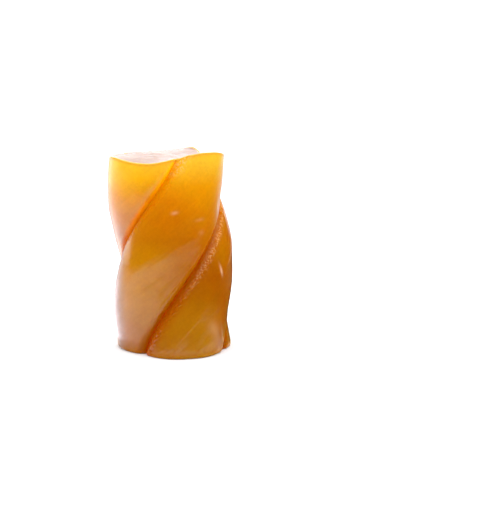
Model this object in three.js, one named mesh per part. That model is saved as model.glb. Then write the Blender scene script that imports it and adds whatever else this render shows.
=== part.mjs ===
// One piece of soft cola twist candy: clear amber fruit gum drawn out as a three-lobed rope, twisted
// while warm and guillotined into short lengths. It stands on its lower cut face.
// Millimetres, +Z up, with the origin at the centre of the footprint, on the floor. Angles are in degrees,
// counted anticlockwise from +X as seen from above, and the front of the piece faces -Y.
import * as THREE from "three";
import { mergeVertices } from "three/addons/utils/BufferGeometryUtils.js";

// Driving dimensions
const HEIGHT = 29.7;
const LEAN = 0.6; // how far the foot stands to +X, and the top to -X, of the middle
const BOW = 0.35; // how far the middle bows out to -X
const FOOT_ROUND = 0.5; // rounding of the edge that it stands on
const CUT_ROUND = 0.2; // rounding of the edge of the upper cut

// The three lobes, anticlockwise. A lobe starts in its groove at radius root, climbs to crest over the share
// rise of its span, and falls into the next groove over the share fall. The groove that it starts in has a
// crease of the depth crease. Over the last share, under, the lobe falls under its lip into the next crease.
const LOBES = [
  { crest: 9.6, root: 7.75, crease: 0.75, span: 101, rise: 0.36, fall: 0.44, under: 0.1 },
  { crest: 9.1, root: 8.0, crease: 0.75, span: 136, rise: 0.58, fall: 0.55, under: 0.14 },
  { crest: 9.35, root: 7.0, crease: 0.4, span: 123, rise: 0.48, fall: 0.86, under: 0.1 },
];
const RISE_POWER = 1.4;
const FALL_POWER = 1.7;

// The crease at the bottom of each groove is a narrow V: a short wall where a lobe starts, and a longer one
// under the lip where a lobe ends.
const CREASE_RISE = 0.06;
const CREASE_POWER = 1.1;
const LIP_TURN = 3.5;
const LIP_SHARE = 0.14;

// The twist at share s from the middle, -1 at the foot and 1 at the top. It slackens towards both cuts.
const MIDDLE_TURN = -45.2;
const TWIST = { straight: 100.6, square: 5.2, cube: -12.7 };

// The upper cut isn't flat: the knife drags the lobes up and down round the rim. Each pair is the height of
// a cosine and a sine wave, with one to five waves in a turn, at the radius RIM. The rim also dips where it
// crosses a groove.
const TOP_WAVES = [
  [0.28, -0.54],
  [0.05, -0.31],
  [-0.3, -0.26],
  [-0.12, 0],
  [0.1, 0],
];
const RIM = 9;
const DIP_DEPTH = 0.3;
const DIP_WIDTH = 1.2;

// Slow unevenness of the lobes, from the pull on the warm rope: height, waves up the piece, waves across
// a lobe, and the shift from lobe to lobe.
const SWELLS = [
  { height: 0.07, up: 1.6, across: 0.7, shift: 0.37 },
  { height: 0.04, up: 3.3, across: -1.2, shift: 0.61 },
];

// Mesh fineness
const LOBE_STEPS = 24;
const SIDE_STEPS = 42;
const ROUND_STEPS = 3;
const FACE_SHARES = [0, 0.3, 0.6, 0.85];

const radians = THREE.MathUtils.degToRad;
const TAU = 2 * Math.PI;

/** 1 at t = 0, falling along a power curve to 0 at t = 1 and beyond. */
function flank(t, power) {
  return Math.pow(Math.max(0, 1 - t), power);
}

/** Outer radius of a lobe at share u round it, before swells and rounding. */
function lobeRadius(index, u) {
  const lobe = LOBES[index];
  const next = LOBES[(index + 1) % LOBES.length];
  const climb = (lobe.crest - lobe.root) * flank(u / lobe.rise, RISE_POWER);
  const fall = (lobe.crest - next.root) * flank((1 - u) / lobe.fall, FALL_POWER);
  const creaseStart = lobe.crease * flank(u / CREASE_RISE, CREASE_POWER);
  const creaseEnd = next.crease * flank((1 - u) / lobe.under, CREASE_POWER);
  return lobe.crest - climb - fall - creaseStart - creaseEnd;
}

/** Angle round the untwisted bar at share u of a lobe, with the lip pushed on over the next groove. */
function lobeAngle(index, u) {
  const start = LOBES.slice(0, index).reduce((sum, lobe) => sum + lobe.span, 0);
  const lip = Math.sin(Math.PI * Math.min(1, (1 - u) / LIP_SHARE));
  return start + LOBES[index].span * u + LIP_TURN * lip;
}

/** Slow swelling of a lobe's skin, which dies out in the grooves. */
function swell(index, u, h) {
  const fade = Math.sin(Math.PI * u);
  return SWELLS.reduce(
    (sum, s) => sum + fade * s.height * Math.sin(TAU * (s.up * h + s.across * u + s.shift * index)),
    0,
  );
}

/** Turn of the section at share h of the height. */
function twist(h) {
  const s = 2 * h - 1;
  return MIDDLE_TURN + TWIST.straight * s + TWIST.square * s ** 2 + TWIST.cube * s ** 3;
}

/** How far the upper cut stands above its mean height, at share u of a lobe, radius r and angle a in radians. */
function topWave(index, u, r, a) {
  const wave = TOP_WAVES.reduce(
    (sum, [cosine, sine], i) => sum + cosine * Math.cos((i + 1) * a) + sine * Math.sin((i + 1) * a),
    0,
  );
  const toGroove = Math.min(u, 1 - u) * radians(LOBES[index].span) * RIM;
  const dip = DIP_DEPTH * Math.exp(-((toGroove / DIP_WIDTH) ** 2));
  return (wave - dip) * (r / RIM) ** 2;
}

/**
 * Rings of the piece from the middle of the foot, out over its edge, up the side, and in over the top edge
 * to the middle of the cut. A ring is the section drawn in by inset, times share, at height z.
 */
function rings() {
  const corner = (k) => (Math.PI / 2) * (k / ROUND_STEPS);
  const list = FACE_SHARES.map((share) => ({ share, inset: FOOT_ROUND, z: 0 }));
  for (let k = 0; k < ROUND_STEPS; k++) {
    const a = corner(k);
    list.push({ share: 1, inset: FOOT_ROUND * (1 - Math.sin(a)), z: FOOT_ROUND * (1 - Math.cos(a)) });
  }
  for (let k = 0; k <= SIDE_STEPS; k++) {
    const z = FOOT_ROUND + (HEIGHT - FOOT_ROUND - CUT_ROUND) * (k / SIDE_STEPS);
    list.push({ share: 1, inset: 0, z });
  }
  for (let k = 1; k <= ROUND_STEPS; k++) {
    const a = corner(k);
    list.push({ share: 1, inset: CUT_ROUND * (1 - Math.cos(a)), z: HEIGHT - CUT_ROUND * (1 - Math.sin(a)) });
  }
  for (const share of [...FACE_SHARES].reverse()) list.push({ share, inset: CUT_ROUND, z: HEIGHT });
  return list;
}

/** The point of a ring at share u round a lobe. */
function skinPoint(index, u, ring) {
  const h = ring.z / HEIGHT;
  const r = (lobeRadius(index, u) + swell(index, u, h) - ring.inset) * ring.share;
  const a = radians(lobeAngle(index, u) + twist(h));
  const s = 2 * h - 1;
  return new THREE.Vector3(
    r * Math.cos(a) - LEAN * s - BOW * (1 - s ** 2),
    r * Math.sin(a),
    ring.z + h ** 2 * topWave(index, u, r, a),
  );
}

/** A plain turned bar whose points are then moved out to the twisted, lobed skin. */
function candyGeometry() {
  const stations = rings();
  const profile = stations.map((ring) => new THREE.Vector2((RIM - ring.inset) * ring.share, ring.z));
  const bar = new THREE.LatheGeometry(profile, LOBES.length * LOBE_STEPS);
  const position = bar.getAttribute("position");
  for (let i = 0; i < position.count; i++) {
    const step = Math.floor(i / stations.length) % (LOBES.length * LOBE_STEPS);
    const index = Math.floor(step / LOBE_STEPS);
    // The steps crowd together towards both grooves, where the skin bends most
    const u = (1 - Math.cos((Math.PI * (step % LOBE_STEPS)) / LOBE_STEPS)) / 2;
    const point = skinPoint(index, u, stations[i % stations.length]);
    position.setXYZ(i, point.x, point.y, point.z);
  }
  bar.deleteAttribute("normal");
  bar.deleteAttribute("uv");
  const skin = mergeVertices(bar);
  skin.computeBoundingBox();
  const middle = skin.boundingBox.getCenter(new THREE.Vector3());
  skin.translate(-middle.x, -middle.y, 0);
  skin.computeVertexNormals();
  return skin;
}

const amberGum = new THREE.MeshStandardMaterial({ color: 0xd98a1e, roughness: 0.3, metalness: 0 });

const candy = new THREE.Mesh(candyGeometry(), amberGum);
candy.name = "twist";

const piece = new THREE.Group();
piece.add(candy);

export default piece;
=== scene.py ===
"""A short length of cola twist: three lobes of soft amber gum, drawn out together, twisted warm and cut.

Lengths are in metres, with +Z up and the front at -Y. The rope's own axis stands on the origin while its
skin is worked out, and the finished skin is then set in the middle of the frame's box.
"""

import math

import bpy
import numpy as np
from mathutils import Matrix, Vector


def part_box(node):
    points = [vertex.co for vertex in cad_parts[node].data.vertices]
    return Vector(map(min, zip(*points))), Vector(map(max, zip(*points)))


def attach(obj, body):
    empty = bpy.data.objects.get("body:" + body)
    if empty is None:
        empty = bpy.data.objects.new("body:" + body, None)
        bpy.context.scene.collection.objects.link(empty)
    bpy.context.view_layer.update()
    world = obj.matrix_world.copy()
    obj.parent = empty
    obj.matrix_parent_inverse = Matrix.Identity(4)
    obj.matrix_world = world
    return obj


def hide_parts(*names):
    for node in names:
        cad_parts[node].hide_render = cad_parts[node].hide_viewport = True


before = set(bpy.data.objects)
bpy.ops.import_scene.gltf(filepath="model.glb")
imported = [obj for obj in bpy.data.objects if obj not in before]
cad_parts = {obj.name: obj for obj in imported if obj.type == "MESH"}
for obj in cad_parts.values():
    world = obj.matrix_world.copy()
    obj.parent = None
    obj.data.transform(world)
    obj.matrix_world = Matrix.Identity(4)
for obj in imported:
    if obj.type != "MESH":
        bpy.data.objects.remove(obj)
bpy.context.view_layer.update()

MM = 0.001
TAU = 2 * math.pi
TALLEST = 32 * MM

# The drawn rope
HEIGHT = 29.7 * MM
LEAN = 0.6 * MM
BOW = 0.35 * MM
FOOT_ROUND = 0.5 * MM
CUT_ROUND = 0.2 * MM
RIM = 9.0 * MM

# The three lobes, anticlockwise, by where the front view shows them
RIGHT, LEFT, FRONT = range(3)

# For each lobe: crest radius, radius of the groove where it starts, span round the rope, and the shares of
# the span over which it rises and falls
CREST = np.array([9.6, 9.1, 9.35]) * MM
ROOT = np.array([7.75, 8.0, 7.0]) * MM
SPAN = np.radians([101, 136, 123])
RISE = np.array([0.36, 0.58, 0.48])
FALL = np.array([0.44, 0.55, 0.86])
RISE_POWER = 1.4
FALL_POWER = 1.7

# The crease in each groove: its depth where each lobe starts, with a short step there, and a cliff under the
# lip where the lobe before it ends
CREASE_DEPTH = np.array([0.75, 0.75, 0.4]) * MM
CREASE_RISE = 0.09
CREASE_RISE_POWER = 1.8
CREASE_FALL = np.array([0.1, 0.14, 0.1])
CREASE_POWER = 1.1
LIP_TURN = math.radians(3.5)
LIP_SHARE = 0.14

# The twist, as powers of the share from -1 at the foot to 1 at the top
MIDDLE_TURN = math.radians(-45.2)
TWIST = np.radians([100.6, 5.2, -12.7])

# The drag of the knife round the upper rim: cosine and sine heights of one to five waves in a turn, and the
# dip where the rim crosses a groove
TOP_WAVES = np.array([[0.28, -0.54], [0.05, -0.31], [-0.3, -0.26], [-0.12, 0], [0.1, 0]]) * MM
DIP_DEPTH = 0.3 * MM
DIP_WIDTH = 1.2 * MM

# A burr that the knife left on the back of the upper rim: turn, half width, height, the radius where it
# starts and the share of the rope's height where it starts
BURR_TURN = math.radians(63)
BURR_WIDTH = math.radians(9)
BURR_HEIGHT = 0.4 * MM
BURR_FROM = 7.8 * MM
BURR_SHARE = 0.96

# Slow swelling of the lobes: height, waves up the piece, waves across a lobe, shift from lobe to lobe
SWELLS = [(0.07 * MM, 1.6, 0.7, 0.37), (0.04 * MM, 3.3, -1.2, 0.61)]

# Clouds in the gum: place, half width and half height in mm, and how much yellower or, below 0, redder
CLOUDS = [
    ((-1, -9.2, 24), 3.2, 3.2, -0.24),
    ((-2, -9, 15.5), 3.2, 2.5, 0.15),
    ((7.7, -5, 5.5), 2.2, 5.0, -0.36),
    ((8.3, -4, 16), 2.0, 4.0, 0.32),
    ((-6.9, -6, 20), 1.8, 3.5, 0.07),
]

# Painted highlights and sheen on the skin, pale where light glints: lobe, share of its span, height, half
# width and half height in mm, and strength
PAINTED_HIGHLIGHTS = [
    (FRONT, 0.32, 21.9, 0.40, 0.22, 0.26),
    (FRONT, 0.62, 20.3, 0.80, 0.20, 0.09),
    (FRONT, 0.745, 18.4, 0.50, 0.35, 0.07),
    (FRONT, 0.79, 22.1, 0.14, 1.00, 0.70),
    (RIGHT, 0.28, 12.6, 0.12, 0.75, 0.60),
    (RIGHT, 0.62, 4.1, 1.00, 1.20, 0.12),
    (RIGHT, 0.84, 2.6, 0.25, 1.40, 0.25),
]
# How far round the section a vertical line on the skin runs, for each step up
DRIFT = 1.06

# Turn of the fine wrinkles, in radians per metre of height: they lie flatter than the lobes
WRINKLE_TURN = 170
# How much shorter the rope is made for the wisps, which draws them out along it
WISP_SHRINK = 0.14

# The fine relief dies out over this height above the floor
RELIEF_START = 0.8 * MM

# Mesh fineness
LOBE_STEPS = 96
SIDE_STEPS = 262
ROUND_STEPS = 7
FACE_STEPS = 20


def flank(t, power):
    """1 at t = 0, falling as (1 - t) to the power to 0 at t = 1 and beyond."""
    return np.clip(1 - t, 0, 1) ** power


def smooth(t, low, high):
    """0 below low, 1 above high, and a smooth S between them."""
    s = np.clip((t - low) / (high - low), 0, 1)
    return s * s * (3 - 2 * s)


def near(t, full, none):
    """1 up to full, 0 beyond none, both in millimetres, and a smooth S between them."""
    return 1 - smooth(t, full * MM, none * MM)


def bell(t, width):
    """A Gaussian bell of height 1."""
    return np.exp(-(t / width) ** 2)


def section(lobe, u):
    """Radius and angle of the untwisted section at share u of a lobe.

    The radius is the crest, less a flank at each end down to the groove, less a narrow V at the bottom of
    each groove. The angle grows evenly, and near the lobe's end a half sine wave pushes the lip on over the
    groove.
    """
    after = (lobe + 1) % 3
    climb = (CREST[lobe] - ROOT[lobe]) * flank(u / RISE[lobe], RISE_POWER)
    fall = (CREST[lobe] - ROOT[after]) * flank((1 - u) / FALL[lobe], FALL_POWER)
    crease_start = CREASE_DEPTH[lobe] * flank(u / CREASE_RISE, CREASE_RISE_POWER)
    crease_end = CREASE_DEPTH[after] * flank((1 - u) / CREASE_FALL[lobe], CREASE_POWER)
    start = np.concatenate([[0], np.cumsum(SPAN)])[lobe]
    lip = np.sin(math.pi * np.clip((1 - u) / LIP_SHARE, 0, 1))
    radius = CREST[lobe] - climb - fall - crease_start - crease_end
    return radius, start + SPAN[lobe] * u + LIP_TURN * lip


def twist(h):
    """Turn of the section at share h of the height: a cubic in the share from the middle."""
    s = 2 * h - 1
    return MIDDLE_TURN + TWIST[0] * s + TWIST[1] * s**2 + TWIST[2] * s**3


def rope_stations():
    """Share, inset and height of each ring, from the middle of the foot to the middle of the upper cut.

    Flat rings are the section drawn in by the rounding, times a share; the two edges are quarter circles.
    """
    flat = np.linspace(0, 1, FACE_STEPS, endpoint=False)
    corner = np.linspace(0, math.pi / 2, ROUND_STEPS, endpoint=False)
    turned = corner[::-1]
    share = np.concatenate([flat, np.ones(2 * ROUND_STEPS + SIDE_STEPS), flat[::-1]])
    inset = np.concatenate([
        np.full(FACE_STEPS, FOOT_ROUND),
        FOOT_ROUND * (1 - np.sin(corner)),
        np.zeros(SIDE_STEPS),
        CUT_ROUND * (1 - np.sin(turned)),
        np.full(FACE_STEPS, CUT_ROUND),
    ])
    height = np.concatenate([
        np.zeros(FACE_STEPS),
        FOOT_ROUND * (1 - np.cos(corner)),
        np.linspace(FOOT_ROUND, HEIGHT - CUT_ROUND, SIDE_STEPS),
        HEIGHT - CUT_ROUND * (1 - np.cos(turned)),
        np.full(FACE_STEPS, HEIGHT),
    ])
    return share[:, None], inset[:, None], height[:, None]


def rope_columns():
    """Lobe number and share of each column round the rope. Columns are closest together at the grooves."""
    t = np.arange(LOBE_STEPS) / LOBE_STEPS
    u = 0.5 * t + 0.25 * (1 - np.cos(math.pi * t))
    return np.repeat(np.arange(3), LOBE_STEPS), np.tile(u, 3)


def grain(places, seed, shortest, longest, drawn=1.0, count=40):
    """Smooth noise of about unit height: a sum of sine waves in random directions.

    Wavelengths lie between shortest and longest, and are longer by the factor drawn along Z.
    """
    rng = np.random.default_rng(seed)
    direction = rng.normal(size=(count, 3))
    direction /= np.linalg.norm(direction, axis=1, keepdims=True)
    wave = direction * (TAU / rng.uniform(shortest, longest, (count, 1))) / [1, 1, drawn]
    phase = rng.uniform(0, TAU, count)
    total = np.zeros(places.shape[:-1])
    for k in range(count):
        total += np.sin(places @ wave[k] + phase[k])
    return total * math.sqrt(2 / count)


class Skin:
    """The rope's skin on a grid of rings and columns, with what the relief and the colours follow.

    before and past are the distances round the section to the groove ahead and behind, in metres. side is 1
    on the drawn side and 0 on the cuts. drawn is the place in the rope before it was twisted, and slanted is
    the place turned back by the turn of the wrinkles.
    """

    def __init__(self):
        share, inset, z = rope_stations()
        self.lobe, self.u = rope_columns()
        h = z / HEIGHT
        radius, angle = section(self.lobe, self.u)
        r = (radius + self.swelling(h) - inset) * share
        a = angle + twist(h)
        s = 2 * h - 1
        span = SPAN[self.lobe] * RIM
        wave = sum(c * np.cos((n + 1) * a) + d * np.sin((n + 1) * a) for n, (c, d) in enumerate(TOP_WAVES))
        wave = wave - DIP_DEPTH * bell(np.minimum(self.u, 1 - self.u) * span, DIP_WIDTH)
        off_burr = (a - BURR_TURN + math.pi) % TAU - math.pi
        at_rim = smooth(r, BURR_FROM, RIM) * smooth(h, BURR_SHARE, 1)
        burr = BURR_HEIGHT * bell(off_burr, BURR_WIDTH) * at_rim
        self.points = np.stack([
            r * np.cos(a) - LEAN * s - BOW * (1 - s**2),
            r * np.sin(a),
            z + h**2 * wave * (r / RIM) ** 2 + burr,
        ], axis=-1)
        self.drawn = np.stack([r * np.cos(angle), r * np.sin(angle), z + 0 * r], axis=-1)
        slant = a - WRINKLE_TURN * z
        self.slanted = np.stack([r * np.cos(slant), r * np.sin(slant), z + 0 * r], axis=-1)
        self.share = share + 0 * r
        self.height = z + 0 * r
        self.side = (share >= 1) + 0 * r
        self.past = self.u * span + 0 * r
        self.before = (1 - self.u) * span + 0 * r

    def swelling(self, h):
        """Slow sine waves up and across the lobes, which die out in the grooves."""
        waves = sum(
            size * np.sin(TAU * (up * h + across * self.u + shift * self.lobe))
            for size, up, across, shift in SWELLS
        )
        return waves * np.sin(math.pi * self.u)

    def normals(self):
        """Outward normals from the central differences along the rings and the columns."""
        along = np.gradient(self.points, axis=0)
        round_it = np.roll(self.points, -1, axis=1) - np.roll(self.points, 1, axis=1)
        n = np.cross(round_it, along)
        return n / np.maximum(np.linalg.norm(n, axis=-1, keepdims=True), 1e-15)


def relief(skin):
    """Height of the fine relief along the normal, in metres.

    The drawn side has shallow dimples, fine wrinkles and, along the creases, pebbles. The cuts have a crust.
    """
    crease = 0.4 * bell(skin.before, 1.0 * MM) + bell(skin.past - 1.2 * MM, 0.7 * MM)
    dimples = 0.006 * MM * grain(skin.drawn, seed=11, shortest=1.5 * MM, longest=4 * MM)
    lines = 0.002 * MM * grain(skin.slanted, seed=12, shortest=0.35 * MM, longest=1.0 * MM, drawn=9)
    pebbles = 0.035 * MM * grain(skin.points, seed=13, shortest=0.35 * MM, longest=0.6 * MM) * crease
    crust = 0.02 * MM * grain(skin.points, seed=14, shortest=0.5 * MM, longest=1.6 * MM)
    on_side = skin.side * smooth(skin.height, 0, RELIEF_START)
    on_cut = (1 - skin.side) * smooth(skin.share, 0, 0.1)
    return on_side * (dimples + lines + pebbles) + on_cut * crust


def clouds(places):
    """How much yellower the gum is at each place: a bell round each cloud's middle."""
    total = np.zeros(places.shape[:-1])
    for middle, across, up, amount in CLOUDS:
        away = (places - np.array(middle) * MM) / (np.array([across, across, up]) * MM)
        total += amount * np.exp(-(away**2).sum(axis=-1))
    return total


def painted_highlights(skin):
    """How pale the painted highlights make each place: a bell across and along each one, which stands
    upright.
    """
    total = 0 * skin.height
    for lobe, u, z, wide, tall, amount in PAINTED_HIGHLIGHTS:
        above = skin.height - z * MM
        across = (skin.u - u) * SPAN[lobe] * RIM + DRIFT * above
        total += amount * bell(across, wide * MM) * bell(above, tall * MM) * (skin.lobe == lobe)
    return total * skin.side


def closed_mesh(name, grid, fields):
    """A closed body from a grid of rings, whose columns wrap round. The two end rings are single points.

    Each field becomes an attribute of the vertices.
    """
    rings, columns = grid.shape[:2]

    def flat(values):
        rows = values[1:-1].reshape(-1, *values.shape[2:])
        return np.concatenate([values[:1, 0], rows, values[-1:, 0]])

    vertices = flat(grid)
    row = np.arange(rings - 3)[:, None] * columns + 1
    here = np.arange(columns)
    there = (here + 1) % columns
    quads = np.stack([row + here, row + there, row + columns + there, row + columns + here], axis=-1)
    last = (rings - 3) * columns + 1
    foot = np.stack([np.zeros(columns, int), 1 + there, 1 + here], axis=-1)
    top = np.stack([last + here, last + there, np.full(columns, len(vertices) - 1)], axis=-1)
    mesh = bpy.data.meshes.new(name)
    mesh.from_pydata(vertices.tolist(), [], foot.tolist() + quads.reshape(-1, 4).tolist() + top.tolist())
    for field, values in fields.items():
        kind, part = ("FLOAT", "value") if values.ndim == 2 else ("FLOAT_VECTOR", "vector")
        attribute = mesh.attributes.new(field, kind, "POINT")
        attribute.data.foreach_set(part, flat(values).astype(np.float32).ravel())
    mesh.shade_smooth()
    piece = bpy.data.objects.new(name, mesh)
    bpy.context.scene.collection.objects.link(piece)
    return piece


def dots(skin):
    """Where painted glints crowd, small pale highlights: a row beside the right groove, and a patch beside
    the left one at the top.
    """
    row = bell(skin.past - 1.2 * MM, 0.45 * MM) * smooth(skin.height, 8 * MM, 15 * MM) * (skin.lobe == RIGHT)
    patch = bell(skin.past - 1.3 * MM, 1.2 * MM) * smooth(skin.height, 26.8 * MM, 28.2 * MM)
    return row + 1.4 * patch * (skin.lobe == FRONT)


def colour_fields(skin, grid):
    """What the gum's look follows at each vertex.

    shade, crease and wall lie past a groove, and lip and seam before it. shade is painted shade, and lip a
    painted glow of light through the thin lip. slit is the bottom of the groove, where painted light offsets
    its shadow, and rim the edge of the upper cut. The gloss is missing where bare is 1. The band at the
    lower left edge, on the front, is painted shade.
    """
    x, y = skin.points[..., 0], skin.points[..., 1]
    side, past, before, height = skin.side, skin.past, skin.before, skin.height
    foot = near(height, 0.3, 1.2) * smooth(x, -8.4 * MM, -6.8 * MM)
    lip_foot = near(before, 1.2, 2.2) * near(height, 2, 7)
    seam = near(before, 1.0, 1.9) * (skin.lobe == LEFT)
    left = smooth(-x, 6.2 * MM, 8.5 * MM)
    front = smooth(-y, 0.5 * MM, 3 * MM)
    shade_width = 2.4 + near(height, 7, 12)
    return {
        "drawn": skin.drawn,
        "slanted": skin.slanted * [1, 1, WISP_SHRINK],
        "cut": 1 - side,
        "cloud": clouds(grid),
        "wall": near(past, 1.0, 2.2) * side,
        "bare": np.maximum.reduce([foot, lip_foot, seam]) * side,
        "shade": near(past, 0.2, shade_width) * side,
        "lip": near(before, 0.8, 2.0) * side,
        # Painted shade at the lower left edge, on the front
        "dim": left * front * near(height, 16, 21) * side,
        "dots": dots(skin),
        "mark": painted_highlights(skin),
        "slit": np.maximum(bell(before, 0.5 * MM), bell(past, 0.25 * MM)) * side,
        "crease": bell(past, 1.5 * MM) * side,
        "rim": near(HEIGHT - height, 0.2, 0.6) * side,
    }


def make_twist():
    """The candy, and how far its rope's axis stands from the frame's origin."""
    skin = Skin()
    points = skin.points
    low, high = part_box("twist")
    middle = (points.min(axis=(0, 1)) + points.max(axis=(0, 1))) / 2
    shift = np.array([(low.x + high.x) / 2 - middle[0], (low.y + high.y) / 2 - middle[1], low.z])
    height = relief(skin)
    height[:FACE_STEPS] = 0
    grid = points + shift + height[..., None] * skin.normals()
    return closed_mesh("cola_twist", grid, colour_fields(skin, grid)), Vector(shift)


class Number:
    """A value that varies over the surface. Arithmetic on it adds Math nodes, as in 1 - mask * 0.5."""

    def __init__(self, finish, socket):
        self.finish = finish
        self.socket = socket

    def math(self, operation, *values):
        return self.finish.node("ShaderNodeMath", {"operation": operation}, dict(enumerate(values)))

    def __add__(self, other):
        return self.math("ADD", self, other)

    def __mul__(self, other):
        return self.math("MULTIPLY", self, other)

    def __sub__(self, other):
        return self.math("SUBTRACT", self, other)

    def __rsub__(self, other):
        return self.math("SUBTRACT", other, self)

    def __truediv__(self, other):
        return self.math("DIVIDE", self, other)

    __radd__ = __add__
    __rmul__ = __mul__

    def between(self, low, high):
        """0 at low and 1 at high, in a smooth S."""
        values = {"Value": self, "From Min": low, "From Max": high}
        return self.finish.node("ShaderNodeMapRange", {"interpolation_type": "SMOOTHSTEP"}, values)


class Finish:
    """A material under construction, around one Principled shader."""

    def __init__(self, name, **constants):
        self.material = bpy.data.materials.new(name)
        self.material.use_nodes = True
        self.tree = self.material.node_tree
        self.shader = self.tree.nodes["Principled BSDF"]
        for socket, value in constants.items():
            self.feed(self.shader, socket.replace("_", " "), value)

    def feed(self, node, socket, value):
        """Links a varying value to a socket, or sets the socket to a constant."""
        if isinstance(value, Number):
            self.tree.links.new(value.socket, node.inputs[socket])
        else:
            node.inputs[socket].default_value = value

    def node(self, kind, settings=None, inputs=None, output=0):
        """Adds a node: its settings, a ramp's stops among them, then the values or links of its sockets."""
        made = self.tree.nodes.new(kind)
        for name, value in (settings or {}).items():
            if name == "stops":
                ramp = made.color_ramp.elements
                while len(ramp) < len(value):
                    ramp.new(1.0)
                for stop, (place, colour) in zip(ramp, value):
                    stop.position = place * MM / TALLEST
                    stop.color = (*colour, 1)
            else:
                setattr(made, name, value)
        for name, value in (inputs or {}).items():
            self.feed(made, name, value)
        return Number(self, made.outputs[output])

    def attribute(self, name, output="Fac"):
        return self.node("ShaderNodeAttribute", {"attribute_name": name}, output=output)

    def mix(self, share, first, second):
        """A colour mixed from two by share."""
        return self.node("ShaderNodeMix", {"data_type": "RGBA"}, {0: share, 6: first, 7: second}, output=2)

    def noise(self, place, size, detail=2.0):
        """Noise from 0 to 1 whose blobs are about size across."""
        return self.node("ShaderNodeTexNoise", None, {"Vector": place, "Scale": 1 / size, "Detail": detail})


# Colour of the gum at heights in millimetres, with painted light and shade in it: golden under the upper
# cut, a painted glow of the light that leaks in there. It is painted yellower on the side towards the light,
# and redder, as painted shade, on the far side and in the creases.
GUM_NEAR_LIGHT = [
    (3, (0.285, 0.089, 0.001)),
    (6, (0.316, 0.116, 0.001)),
    (10, (0.366, 0.146, 0.001)),
    (14, (0.380, 0.146, 0.0)),
    (18, (0.375, 0.122, 0.0)),
    (21, (0.415, 0.134, 0.0)),
    (24, (0.530, 0.205, 0.0005)),
    (27, (0.660, 0.335, 0.003)),
    (29.7, (0.680, 0.420, 0.02)),
]
GUM_SHADED_SIDE = [
    (3, (0.330, 0.133, 0.001)),
    (6, (0.320, 0.121, 0.001)),
    (9, (0.290, 0.090, 0.0)),
    (12, (0.283, 0.072, 0.0)),
    (15, (0.320, 0.088, 0.0)),
    (18, (0.370, 0.104, 0.0)),
    (22, (0.460, 0.152, 0.0)),
    (26, (0.560, 0.230, 0.001)),
    (29.7, (0.640, 0.375, 0.02)),
]
# Painted shade past each groove: the gum there is redder and darker than the body
GUM_CREASE_SHADE = [
    (3, (0.26, 0.048, 0.0)),
    (7, (0.27, 0.052, 0.0)),
    (12, (0.29, 0.062, 0.0)),
    (16, (0.36, 0.085, 0.0)),
    (19.5, (0.40, 0.118, 0.0)),
    (22, (0.445, 0.105, 0.0)),
    (27.7, (0.62, 0.220, 0.0)),
    (29.7, (0.66, 0.280, 0.005)),
]
# Painted light glowing through the thin lip before each groove: golden near the top, deep orange near the
# foot
GUM_LIP_GLOW = [
    (3, (0.30, 0.075, 0.0)),
    (8, (0.33, 0.092, 0.0)),
    (14, (0.36, 0.095, 0.0)),
    (17, (0.46, 0.096, 0.0)),
    (19, (0.59, 0.155, 0.0)),
    (21, (0.64, 0.185, 0.0)),
    (24, (0.69, 0.215, 0.0)),
    (27, (0.80, 0.360, 0.0)),
    (29.7, (0.82, 0.440, 0.005)),
]
# Painted light in the bottom of each groove, lighter than the shade beside it, which offsets the groove's
# own shadow
GUM_SLIT_GLOW = [
    (3, (0.55, 0.075, 0.0)),
    (14, (0.58, 0.095, 0.0)),
    (18, (0.62, 0.150, 0.0)),
    (22, (0.60, 0.165, 0.0)),
    (26, (0.78, 0.260, 0.0)),
    (29.7, (0.90, 0.400, 0.0)),
]

# Colours of the knife's frosted cut, the painted glints, the painted highlights and sheen, and the edge of
# the upper cut
CUT_COLOUR = (0.26, 0.13, 0.085, 1)
GLINT_COLOUR = (0.74, 0.46, 0.17, 1)
HIGHLIGHT_COLOUR = (0.90, 0.62, 0.42, 1)
RIM_COLOUR = (0.48, 0.26, 0.02, 1)


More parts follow.
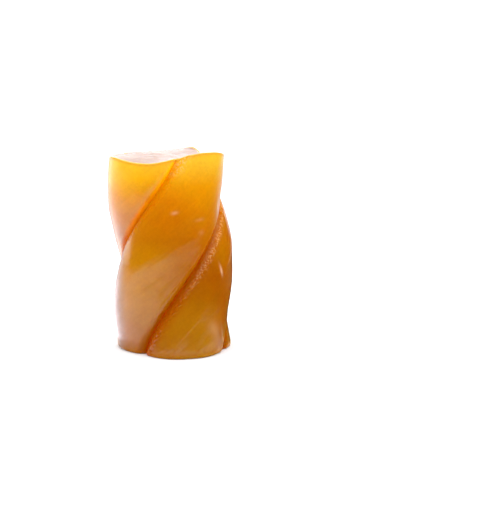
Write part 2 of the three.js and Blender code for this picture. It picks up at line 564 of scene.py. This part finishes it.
def gum_colour(finish, place):
    """Colour of the drawn gum: ramps of painted light and shade up the height, chosen by side and crease,
    with clouds, painted glints and painted highlights.

    The painted shade at the lower left edge takes away red and green, and so turns deeper and redder. A
    cloud adds green, and a little red.
    """
    across = finish.node("ShaderNodeSeparateXYZ", None, {0: place}, output="X")
    up = finish.node("ShaderNodeSeparateXYZ", None, {0: place}, output="Z")
    near_light, shaded_side, crease_shade, lip_glow, slit_glow = (
        finish.node("ShaderNodeValToRGB", {"stops": stops}, {"Fac": up / TALLEST})
        for stops in (GUM_NEAR_LIGHT, GUM_SHADED_SIDE, GUM_CREASE_SHADE, GUM_LIP_GLOW, GUM_SLIT_GLOW)
    )
    # Painted light and shade across the piece: yellower on the left, towards the light, redder on the right
    body = finish.mix(across.between(-6 * MM, 7 * MM), near_light, shaded_side)
    # Painted shade at the lower left edge: it takes away red and green
    dim = finish.attribute("dim")
    cloud = finish.attribute("cloud")
    red = (1 - 0.45 * dim) * (1 + 0.3 * cloud)
    green = (1 - 0.55 * dim) * (1 + cloud)
    tint = finish.node("ShaderNodeCombineXYZ", None, {0: red, 1: green, 2: 1.0})
    body = finish.node("ShaderNodeVectorMath", {"operation": "MULTIPLY"}, {0: body, 1: tint})
    # Painted shade past each groove
    body = finish.mix(finish.attribute("shade"), body, crease_shade)
    # Painted glow of light through the thin lip before each groove
    body = finish.mix(finish.attribute("lip"), body, lip_glow)
    # Painted light in the bottom of each groove
    body = finish.mix(finish.attribute("slit"), body, slit_glow)
    body = finish.mix(0.8 * finish.attribute("rim"), body, RIM_COLOUR)
    billows = 0.16 * finish.noise(place, 2.4 * MM) + 0.28 * finish.noise(place, 0.4 * MM, 3.0)
    cloudy = 0.7 + billows + 0.18 * wisps(finish)
    body = finish.node("ShaderNodeVectorMath", {"operation": "SCALE"}, {0: body, 3: cloudy})
    # Painted glints: small pale highlights, scattered by noise
    glints = finish.attribute("dots") * finish.noise(place, 0.33 * MM, 1.0).between(0.42, 0.66)
    body = finish.mix(0.4 * glints, body, GLINT_COLOUR)
    # Painted highlights and sheen
    return finish.mix(finish.attribute("mark"), body, HIGHLIGHT_COLOUR)


def wisps(finish):
    """Noise drawn out along the fine wrinkles."""
    return finish.noise(finish.attribute("slanted", "Vector"), 0.6 * MM, 3.0)


def amber_gum():
    """Clear amber gum: golden under the upper cut, where the light leaking in is painted as a glow, deep
    orange below, paler where the knife has frosted it.

    A patchy film of gloss lies on the drawn side, thinner in the creases and missing where it is bare.
    """
    finish = Finish(
        "amber_gum",
        Subsurface_Weight=1.0,
        Subsurface_Radius=(1.0, 0.5, 0.2),
        Subsurface_Scale=1.5 * MM,
        IOR=1.5,
        Specular_IOR_Level=0.1,
        Coat_Roughness=0.1,
    )
    place = finish.node("ShaderNodeTexCoord", output="Object")
    drawn = finish.attribute("drawn", "Vector")
    cut = finish.attribute("cut")
    finish.feed(finish.shader, "Base Color", finish.mix(cut, gum_colour(finish, place), CUT_COLOUR))
    mottle = finish.noise(place, 0.35 * MM, 3.0).between(0.3, 0.7)
    covered = (1 - 0.85 * finish.attribute("wall")) * (1 - finish.attribute("bare"))
    film = covered * (0.35 + 0.35 * mottle + 0.6 * wisps(finish))
    frost = 0.6 + 0.2 * mottle
    finish.feed(finish.shader, "Coat Weight", film + cut * (frost - film))
    speckle = finish.noise(drawn, 0.4 * MM)
    finish.feed(finish.shader, "Roughness", 0.3 + 0.2 * cut + 0.1 * speckle)
    on_side = finish.noise(drawn, 0.3 * MM, 3.0) * (0.3 + 0.7 * finish.attribute("crease"))
    on_cut = finish.noise(place, 0.3 * MM, 3.0) * cut
    bump = {"Strength": 0.35, "Distance": 0.05 * MM, "Height": on_side + on_cut}
    finish.feed(finish.shader, "Normal", finish.node("ShaderNodeBump", None, bump))
    return finish.material


# Camera, as the photograph was taken: it looks down by the pitch, and the foot of the rope's axis falls on
# AXIS_PIXEL
CAMERA_PITCH = math.radians(10.52)
CAMERA_DISTANCE = 0.358
PIXELS_PER_METRE = 6500
AXIS_PIXEL = (171.8, 345.9)
FRAME_PIXELS = (480, 512)
SENSOR = 36.0


def make_camera(axis_foot):
    """A camera that stands back from the foot of the axis, moved sideways to put that on AXIS_PIXEL."""
    across = (AXIS_PIXEL[0] - FRAME_PIXELS[0] / 2) / PIXELS_PER_METRE
    above = (FRAME_PIXELS[1] / 2 - AXIS_PIXEL[1]) / PIXELS_PER_METRE
    turn = Matrix.Rotation(math.pi / 2 - CAMERA_PITCH, 4, "X")
    data = bpy.data.cameras.new("camera")
    data.sensor_width = SENSOR
    data.lens = PIXELS_PER_METRE * CAMERA_DISTANCE / max(FRAME_PIXELS) * SENSOR
    camera = bpy.data.objects.new("camera", data)
    back = Matrix.Translation((-across, -above, CAMERA_DISTANCE))
    camera.matrix_world = Matrix.Translation(axis_foot) @ turn @ back
    bpy.context.scene.collection.objects.link(camera)
    bpy.context.scene.camera = camera


def gloss_card(name, radius, turn, height, glow):
    """A faintly lilac card round the candy that only gloss sees, given as grids of rows and columns.

    Its glow is a painted reflection, light that shows only in the gloss.
    """
    rows, columns = radius.shape
    t = np.radians(turn)
    vertices = np.stack([radius * np.cos(t), radius * np.sin(t), height], axis=-1).reshape(-1, 3)
    corner = (np.arange(rows - 1)[:, None] * columns + np.arange(columns - 1)).ravel()
    faces = np.stack([corner, corner + 1, corner + 1 + columns, corner + columns], axis=-1)
    mesh = bpy.data.meshes.new(name)
    mesh.from_pydata(vertices.tolist(), [], faces.tolist())
    attribute = mesh.attributes.new("glow", "FLOAT", "POINT")
    attribute.data.foreach_set("value", glow.astype(np.float32).ravel())
    paint = Finish(name, Base_Color=(0.01, 0.01, 0.01, 1), Roughness=1.0, Specular_IOR_Level=0.0)
    strength = paint.attribute("glow")
    light = paint.node("ShaderNodeCombineXYZ", None, {0: 0.94 * strength, 1: 0.92 * strength, 2: strength})
    paint.feed(paint.shader, "Emission Color", light)
    paint.feed(paint.shader, "Emission Strength", 1.0)
    mesh.materials.append(paint.material)
    card = bpy.data.objects.new(name, mesh)
    bpy.context.scene.collection.objects.link(card)
    card.visible_camera = False
    card.visible_diffuse = False
    card.visible_shadow = False
    card.visible_transmission = False


# How bright the gloss sees the table: at each turn in degrees, the strength, the power of its fall with
# distance, the reach in metres and how softly the lit part ends, as a share of the reach. It starts to fall
# at GLOW_START. The card lies at GLOW_LEVEL.
TABLE_GLOW = [
    (-260, 0.7, 0.10, 1.00, 0.5),
    (-245, 1.0, 0.15, 1.00, 0.5),
    (-230, 3.2, 0.30, 1.00, 0.5),
    (-207, 4.3, 0.70, 0.60, 0.5),
    (-180, 3.1, 1.00, 0.11, 0.5),
    (-160, 2.45, 1.50, 0.074, 0.45),
    (-140, 2.0, 1.40, 0.054, 0.4),
    (-120, 1.8, 1.20, 0.041, 0.35),
    (-90, 1.5, 0.50, 0.042, 0.2),
    (-45, 0.9, 0.00, 0.046, 0.25),
    (-15, 0.8, 0.00, 0.046, 0.25),
    (5, 0.0, 0.00, 0.049, 0.1),
]
GLOW_START = 30 * MM
GLOW_LEVEL = 0.5 * MM

# The inner edge of the table's card, and the wall that its outer edge meets
GLOW_INNER = 9.6 * MM
WALL_RADIUS = 1.0
WALL_HEIGHT = 0.9


def make_reflections():
    """What the gloss sees, as painted reflections: a table that is bright close by and to the left, and a
    dark wall round it.

    Turns are in degrees anticlockwise from +X, from the back left, through the front at -90, to the right.
    strength, fall and lit give the table's glow, and beyond adds a glow far off at the back right. In front
    the table carries a painted shadow of the candy, dark between the candy's foot and a lit strip, and a
    painted contact shadow, dimmer where the candy touches it. The wall starts higher at the left, where the
    bright table shows under it.
    """
    turn, radius = np.meshgrid(np.linspace(-260, 100, 181), np.geomspace(GLOW_INNER, WALL_RADIUS, 120))
    at, *columns = np.array(TABLE_GLOW).T
    strength, power, reach, soft = (np.interp(turn, at, column) for column in columns)
    fall = (GLOW_START / np.maximum(radius, GLOW_START)) ** power
    lit = 1 - smooth(radius / reach, 1 - soft, 1 + soft)
    strip = 29 + 6 * smooth(turn, -90, -35)
    # Painted shadow of the candy on the table in front and to the right
    candy_shadow = smooth(turn, -108, -88) * smooth(radius, 15 * MM, 21 * MM) * near(radius, strip - 2, strip + 2)
    # Painted contact shadow round the candy's foot
    foot = 1 - 0.5 * near(radius, 9.8, 11.5)
    beyond = 0.9 * smooth(turn, 10, 75) ** 1.3 * smooth(radius, 75 * MM, 100 * MM)
    glow = strength * fall * lit * (1 - candy_shadow) * foot + beyond
    gloss_card("table_seen", radius, turn, GLOW_LEVEL + 0 * turn, glow)
    # A black card that only gloss sees: painted dark reflections of the room round the candy
    turn, height = np.meshgrid(np.linspace(-250, 60, 100), np.linspace(0, WALL_HEIGHT, 4))
    sill = 1 + 60 * (1 - smooth(turn, -200, -185)) + 50 * (1 - smooth(turn, -245, -225))
    gloss_card("wall", WALL_RADIUS + 0 * turn, turn, np.maximum(height, sill * MM), 0 * turn)


# The table's half width, and the strength of the even white light of the room
TABLE_REACH = 3.0
ROOM_LIGHT = 1.9


def make_table():
    """A table that reads as plain white in the light of the room. It is staging, not part of the candy."""
    mesh = bpy.data.meshes.new("table")
    corners = [(x * TABLE_REACH, y * TABLE_REACH, 0) for x, y in ((-1, -1), (1, -1), (1, 1), (-1, 1))]
    mesh.from_pydata(corners, [], [(0, 1, 2, 3)])
    mesh.materials.append(Finish("white_table", Base_Color=(0.85, 0.86, 0.88, 1), Roughness=0.9).material)
    table = bpy.data.objects.new("table", mesh)
    bpy.context.scene.collection.objects.link(table)


def make_light():
    """Even white light from all round, as in a light tent."""
    world = bpy.data.worlds.new("studio")
    world.use_nodes = True
    background = world.node_tree.nodes["Background"]
    background.inputs["Color"].default_value = (1, 1, 1, 1)
    background.inputs["Strength"].default_value = ROOM_LIGHT
    bpy.context.scene.world = world


piece, shift = make_twist()
piece.data.materials.append(amber_gum())
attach(piece, "root")
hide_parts("twist")
make_camera(shift)
make_table()
make_reflections()
make_light()
bpy.context.scene.view_settings.view_transform = "Standard"
